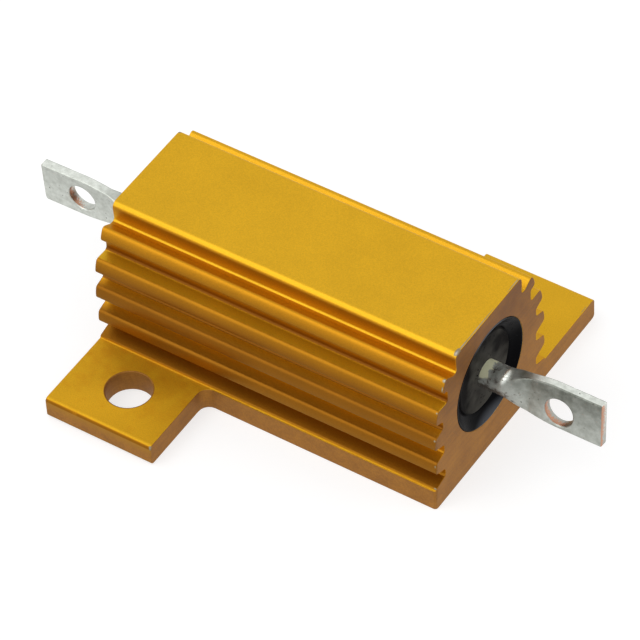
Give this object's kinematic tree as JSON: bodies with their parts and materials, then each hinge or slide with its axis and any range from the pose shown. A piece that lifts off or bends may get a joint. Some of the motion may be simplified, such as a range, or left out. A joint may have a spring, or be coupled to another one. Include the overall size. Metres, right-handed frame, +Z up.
{
  "type": "aluminium housed power resistor",
  "caption": "Wirewound power resistor moulded into a finned gold-anodised aluminium housing with two diagonal mounting tabs and a flat solder terminal at each end.",
  "frame": {"origin": "middle of the mounting face, under the middle of the housing", "axes": "+X along the resistor towards the right-hand terminal, +Z up from the mounting face, the front tab at -X -Y and the rear tab at +X +Y"},
  "size_m": [0.045, 0.027, 0.0125],
  "materials": {
    "anodised_aluminium": "satin gold anodised extrusion, matt bronze on the sawn and milled faces",
    "black_moulding": "black moulding compound, semi-gloss on the dish wall",
    "ceramic": "fired white ceramic",
    "resistance_wire": "drawn nickel-chrome wire",
    "pressed_steel": "pressed steel",
    "tinned_copper": "dull hot-tinned copper"
  },
  "bodies": {
    "root": {"housing": "anodised_aluminium", "moulding": "black_moulding", "ceramic_core": "ceramic", "winding": "resistance_wire", "end_cap_left": "pressed_steel", "end_cap_right": "pressed_steel", "terminal_left": "tinned_copper", "terminal_right": "tinned_copper"}
  },
  "joints": []
}
